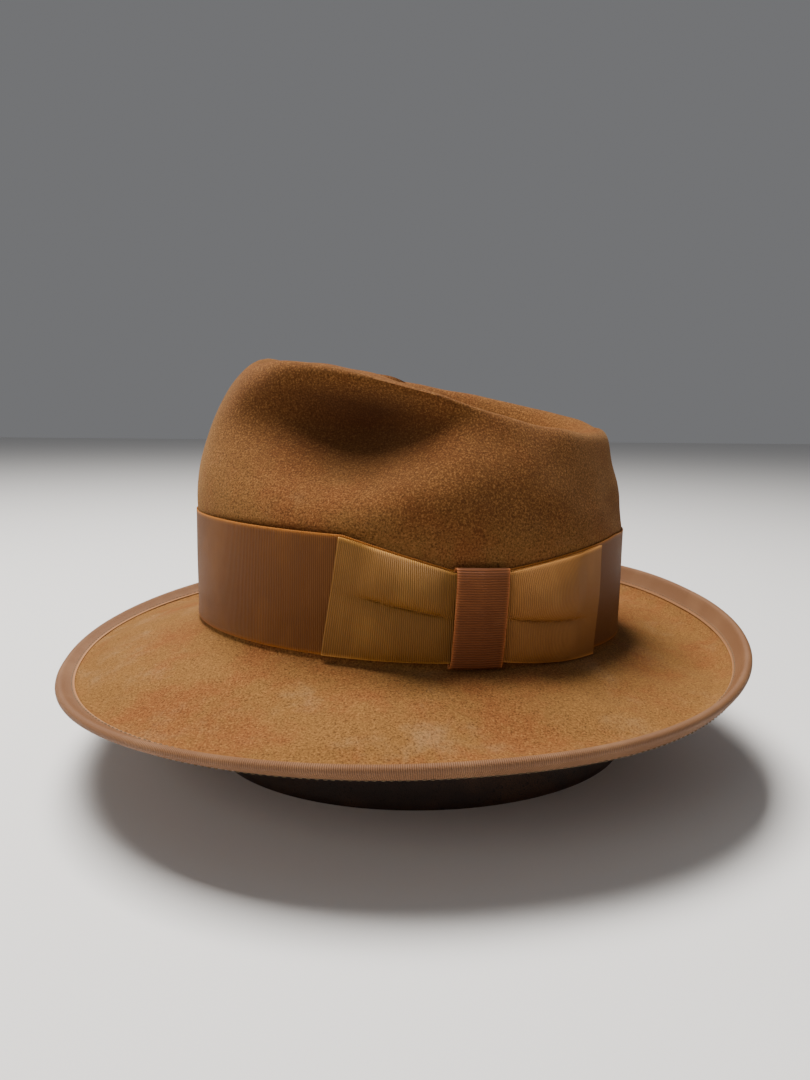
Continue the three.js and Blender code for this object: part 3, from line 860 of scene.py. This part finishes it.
def bow_knot():
    """The ribbon that is wrapped round the middle of the bow."""
    turn = np.linspace(0, TURN, 97)[:, None] - math.pi * 0.9
    across = np.linspace(-1, 1, 26)[None, :]
    low, high = -KNOT.below, RIBBON.width - BOW.dip + KNOT.below
    up = (low + high) / 2 + (high - low) / 2 * signed_power(np.sin(turn), 0.42)
    inner, outer = BOW_OUT - KNOT.behind, BOW_OUT + KNOT.ahead
    belly = 0.5 * np.cos((up - (low + high) / 2) / (high - low) * math.pi)
    out = (inner + outer) / 2 + ((outer - inner) / 2) * signed_power(np.cos(turn), 0.6)
    front = np.clip(np.cos(turn), 0, 1) ** 0.5
    out = out + front * (belly - KNOT.pinch * np.abs(across) ** 3)
    wrinkle = np.sin(across * 7 + up * 0.05) * 0.12 + np.sin(across * 13 + 1) * 0.06
    out = out + front * wrinkle
    half_width = (BOW.knot_high - BOW.knot_low) / 2
    x = (BOW.knot_low + BOW.knot_high) / 2 + across * (half_width - 0.5 * front)
    x = x + KNOT.lean * (up - KNOT.upright)
    x, up, out = np.broadcast_arrays(x, up, out)
    return cloth_piece("bow_knot_wrap", bow_side(x, up, out), KNOT.cloth, KNOT_RIBBON)


# ---------------------------------------------------------------- sweatband
def sweatband_point(angle, along, out):
    """The turned-down sweatband, from the edge it stands on, 0, to its sewn edge, 1."""
    sewn = above_break(angle, -SWEATBAND.sewn_drop, out - SWEATBAND.inset)
    foot = points_of(
        SWEATBAND.centre + (SWEATBAND.half_length + out) * np.cos(angle),
        (SWEATBAND.half_width + out) * np.sin(angle),
        0.0,
    )
    return foot + (sewn - foot) * np.asarray(along, float)[..., None]


def sweatband():
    angles = circle(320)[None, :]
    along = np.linspace(0, 1, 26)[:, None]
    angles, along = np.broadcast_arrays(angles, along)
    belly = 1.2 * np.sin(along * math.pi)
    place = sweatband_point(angles, along, 0.0)
    wrinkles = 0.35 * waves(place * (1, 1, 0.3), 26, 31) * np.sin(along * math.pi)
    seam = np.abs((angles + math.pi) % TURN - math.pi) * SWEATBAND.half_width
    groove = -0.5 * np.exp(-((seam / 0.7) ** 2))
    out = -SWEATBAND.thickness / 2 - belly * 0.4 + wrinkles + groove
    middle = sweatband_point(angles, along, out)
    return cloth_ring("sweatband_strip", middle, SWEATBAND.thickness, LEATHER)


def sweatband_stitches():
    def place(angle, out):
        return sweatband_point(angle, np.full_like(angle, 0.95), out + 0.1)

    return stitch_ring("sweatband_stitches", place, BAND_THREAD, 51)


def seam_stitches():
    """The zigzag that joins the sweatband's two ends at the rear."""
    count = 22
    heights = np.linspace(0.08, 0.62, count)
    share = np.linspace(0, 1, 5)[None]
    swing = np.where(np.arange(count) % 2, 1, -1)[:, None] * (share - 0.5) * 3.2
    along = heights[:, None] + share * (heights[1] - heights[0])
    lift = np.array([-0.1, 0.45, 0.6, 0.45, -0.1])[None]
    angle = swing / SWEATBAND.half_width
    angle, along, lift = np.broadcast_arrays(angle, along, lift)
    paths = sweatband_point(angle, along, lift)
    ups = sweatband_point(angle, along, lift + 1) - paths
    return threads("sweatband_seam_stitches", paths, ups, 0.25, BAND_THREAD)


REAR_BOW = Sizes(cloth=0.35, along=0.78, half_height=0.08, wrap_half_height=0.062, reach=10.5)


def rear_bow_loop(name, side):
    """One flat loop of the small bow over the rear seam: out to its fold and back."""
    run = np.concatenate([np.linspace(0, 1, 18), np.ones(4), np.linspace(1, 0, 18)])[:, None]
    turn = np.concatenate([np.zeros(18), np.linspace(0, 1, 6)[1:-1], np.ones(18)])[:, None]
    v = np.linspace(-1, 1, 14)[None]
    waist = 0.55 + 0.45 * np.clip(run * 1.6, 0, 1)
    height = REAR_BOW.along + REAR_BOW.half_height * v * waist
    outwards = 1 + run * REAR_BOW.reach - 0.3 * np.abs(v) ** 2 * run
    angle = side * outwards / SWEATBAND.half_width
    puff = 0.35 + 1.5 * np.sin(np.clip(run, 0, 1) * math.pi * 0.9) + 0.5
    out = 0.7 + puff * (1 + np.cos(turn * math.pi)) / 2
    out = out - 0.3 * np.exp(-((v / 0.2) ** 2)) * (1 - run) * (1 - turn)
    angle, height, out = np.broadcast_arrays(angle, height, out)
    return cloth_piece(name, sweatband_point(angle, height, out), REAR_BOW.cloth, BAND_RIBBON)


def rear_bow_wrap():
    turn = np.linspace(0, TURN, 49)[:, None] - math.pi * 0.95
    across = np.linspace(-1, 1, 10)[None]
    height = REAR_BOW.along + REAR_BOW.wrap_half_height * signed_power(np.sin(turn), 0.5)
    out = 1.6 + 1.25 * signed_power(np.cos(turn), 0.6) + 0.15 * np.cos(across * 5)
    angle = across * 2 / SWEATBAND.half_width
    angle, height, out = np.broadcast_arrays(angle, height, out)
    points = sweatband_point(angle, height, out)
    return cloth_piece("rear_bow_wrap", points, REAR_BOW.cloth, BAND_RIBBON)


def reed_tape():
    angles = circle(240)[None]
    up = np.linspace(TAPE.low, TAPE.high, 8)[:, None]
    angles, up = np.broadcast_arrays(angles, up)
    out = -FELT.thickness / 2 - TAPE.gap - TAPE.thickness / 2
    return cloth_ring("reed_tape_strip", above_break(angles, up, out), TAPE.thickness, TAPE_CLOTH)


# ---------------------------------------------------------------- lining
LINING_OUT = -FELT.thickness / 2 - LINING.clearance - LINING.thickness / 2


def tip_row(angle):
    """The row of the shoulder that is level with the lining's tip."""
    foot = above_break(angle, RIBBON.width, 0.0)
    crest = rim_point(angle)
    level = dent_floor(crest[..., 0]) - LINING.tip_drop
    share = (level - foot[..., 2]) / (crest[..., 2] - foot[..., 2])
    return 3 + share * (1 - 1 / SHOULDER.corner_power)


def lining_side_cloth():
    """Satin a little inside the felt, gathered more and more towards its top."""
    angles, share = np.broadcast_arrays(circle(512)[None], np.linspace(0, 1, 26)[:, None])
    rows = lerp(2.4, tip_row(angles), share)
    round_hat = points_of(np.cos(angles) * 80, np.sin(angles) * 80, rows * 20)
    folds = np.abs(np.sin(angles * LINING.pleats / 2)) + 0.4 * waves(round_hat, 12, 71)
    gather = 0.5 * np.clip((share - 0.4) / 0.5, 0, 1) * np.clip((1 - share) / 0.06, 0, 1)
    place = felt_point(angles, rows, LINING_OUT - gather * folds)
    return cloth_ring("lining_side_cloth", place, LINING.thickness, SATIN)


def lining_tip_cloth():
    """An oval of satin across the crown, below the dent, with a few slack waves."""
    angles, share = np.broadcast_arrays(circle(256)[None], np.linspace(0, 0.995, 40)[:, None])
    edge = felt_point(angles, tip_row(angles), LINING_OUT)
    x = lerp(edge[..., 0], RIM.centre, share)
    y = lerp(edge[..., 1], 0.0, share)
    middle = dent_floor(RIM.centre) - LINING.tip_drop
    z = lerp(edge[..., 2], middle, share) + LINING.tip_lift
    slack = 0.35 * waves(points_of(x, y, 0 * x), 30, 72) * np.sin(share * math.pi)
    return cloth_ring(
        "lining_tip_cloth", points_of(x, y, z + slack), LINING.thickness, SATIN
    )


# ---------------------------------------------------------------- putting it together
felt = felt_body()
binding = brim_binding()
top_stitches = binding_stitches("binding_top_stitches", 1, 41)
under_stitches = binding_stitches("binding_under_stitches", -1, 42)
band = hat_band()
front_crease = Sizes(at_knot=0.5, at_fold=0.56, upper=6.8, lower=2.6)
rear_crease = Sizes(at_knot=0.5, at_fold=0.36, upper=6.2, lower=2.6)
front_wing = bow_wing(
    "bow_front_wing_ribbon", BOW.front, 6.0, 0.0, front_crease, FRONT_RIBBON_PAINTED_LIGHT
)
rear_wing = bow_wing("bow_rear_wing_ribbon", BOW.rear, 2.0, 2.5, rear_crease, REAR_RIBBON_PAINTED_LIGHT)
knot = bow_knot()
strip = sweatband()
strip_stitches = sweatband_stitches()
seam = seam_stitches()
loops = [rear_bow_loop("rear_bow_left_loop", -1), rear_bow_loop("rear_bow_right_loop", 1)]
wrap = rear_bow_wrap()
tape = reed_tape()
lining_side = lining_side_cloth()
lining_tip = lining_tip_cloth()

# The brim's front bends down at its snap line; these pieces cross that line, so their transforms
# are baked and the CAD nodes on both sides of it are hidden.
crossing = [
    (felt, "felt", ["felt_body", "felt_brim_front"]),
    (binding, "binding_ribbon", ["brim_binding", "brim_binding_front"]),
    (top_stitches, "thread", ["binding_top_thread", "binding_top_thread_front"]),
    (under_stitches, "thread", ["binding_under_thread", "binding_under_thread_front"]),
]
for piece, slot, nodes in crossing:
    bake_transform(piece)
    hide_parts(*nodes)

on_crown = [
    (band, "band_ribbon", ["hat_band"]),
    (front_wing, "bow_ribbon", ["bow_front_wing"]),
    (rear_wing, "bow_ribbon", ["bow_rear_wing"]),
    (knot, "knot_ribbon", ["bow_knot"]),
    (strip, "sweatband_leather", ["sweatband"]),
    (strip_stitches, "thread", ["sweatband_thread"]),
    (seam, "thread", ["sweatband_seam_thread"]),
    (loops[0], "band_ribbon", ["rear_bow_ribbon"]),
    (loops[1], "band_ribbon", ["rear_bow_ribbon"]),
    (wrap, "band_ribbon", ["rear_bow_knot"]),
    (tape, "reed_tape", ["reed_tape"]),
    (lining_side, "lining_satin", ["lining_side"]),
    (lining_tip, "lining_satin", ["lining_tip"]),
]
for piece, slot, nodes in on_crown:
    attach(piece, "hat")
    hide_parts(*nodes)

for name, material in [("sweatband_reed", REED_CORD), ("lining_piping", SATIN)]:
    bpy.data.objects[name].material_slots[0].material = material


# ---------------------------------------------------------------- floor, light and camera
def plain_material(name, colour, roughness):
    material = bpy.data.materials.new(name)
    material.use_nodes = True
    shader = material.node_tree.nodes["Principled BSDF"]
    shader.inputs["Base Color"].default_value = colour
    shader.inputs["Roughness"].default_value = roughness
    return material


def floor():
    """A plain surface just below the hat."""
    size = 4.0
    mesh = bpy.data.meshes.new("floor")
    corners = [(-size, -size, 0), (size, -size, 0), (size, size, 0), (-size, size, 0)]
    mesh.from_pydata(corners, [], [(0, 1, 2, 3)])
    mesh.materials.append(plain_material("floor", (0.74, 0.73, 0.72, 1), 0.9))
    made = bpy.data.objects.new("floor", mesh)
    made.location.z = -0.0002
    bpy.context.scene.collection.objects.link(made)


def area_light(name, place, aim, size, power, colour=(1, 1, 1)):
    data = bpy.data.lights.new(name, "AREA")
    data.shape = "RECTANGLE"
    data.size, data.size_y = size
    data.energy = power
    data.color = colour
    made = bpy.data.objects.new(name, data)
    made.location = place
    made.rotation_euler = (Vector(aim) - Vector(place)).to_track_quat("-Z", "Y").to_euler()
    bpy.context.scene.collection.objects.link(made)


def surroundings():
    """A dim, even studio with a large lamp above and a weak one at the front left."""
    world = bpy.data.worlds.new("studio")
    bpy.context.scene.world = world
    world.use_nodes = True
    background = world.node_tree.nodes["Background"]
    background.inputs["Color"].default_value = (0.86, 0.87, 0.9, 1)
    background.inputs["Strength"].default_value = 0.2
    middle = (0, 0, 0.1)
    area_light("key", (-0.3, 0.25, 1.5), middle, (0.8, 0.6), 60, (1.0, 0.97, 0.93))
    area_light("side", (-1.2, -1.0, 0.9), middle, (0.8, 0.8), 5, (1.0, 0.98, 0.95))


def camera():
    """The photograph's view: close, wide, a little above the brim, from the hat's left."""
    heading, pitch, roll = math.radians(11.58), math.radians(9.07), math.radians(0.9)
    data = bpy.data.cameras.new("camera")
    data.sensor_width, data.lens = 36.0, 26.7
    data.clip_start = 0.01
    made = bpy.data.objects.new("camera", data)
    turned = (
        Matrix.Rotation(-heading, 4, "Z")
        @ Matrix.Rotation(math.pi / 2 - pitch, 4, "X")
        @ Matrix.Rotation(roll, 4, "Z")
    )
    made.matrix_world = Matrix.Translation(Vector((-75.3, -369.2, 155.9)) * MM) @ turned
    bpy.context.scene.collection.objects.link(made)
    bpy.context.scene.camera = made


floor()
surroundings()
camera()
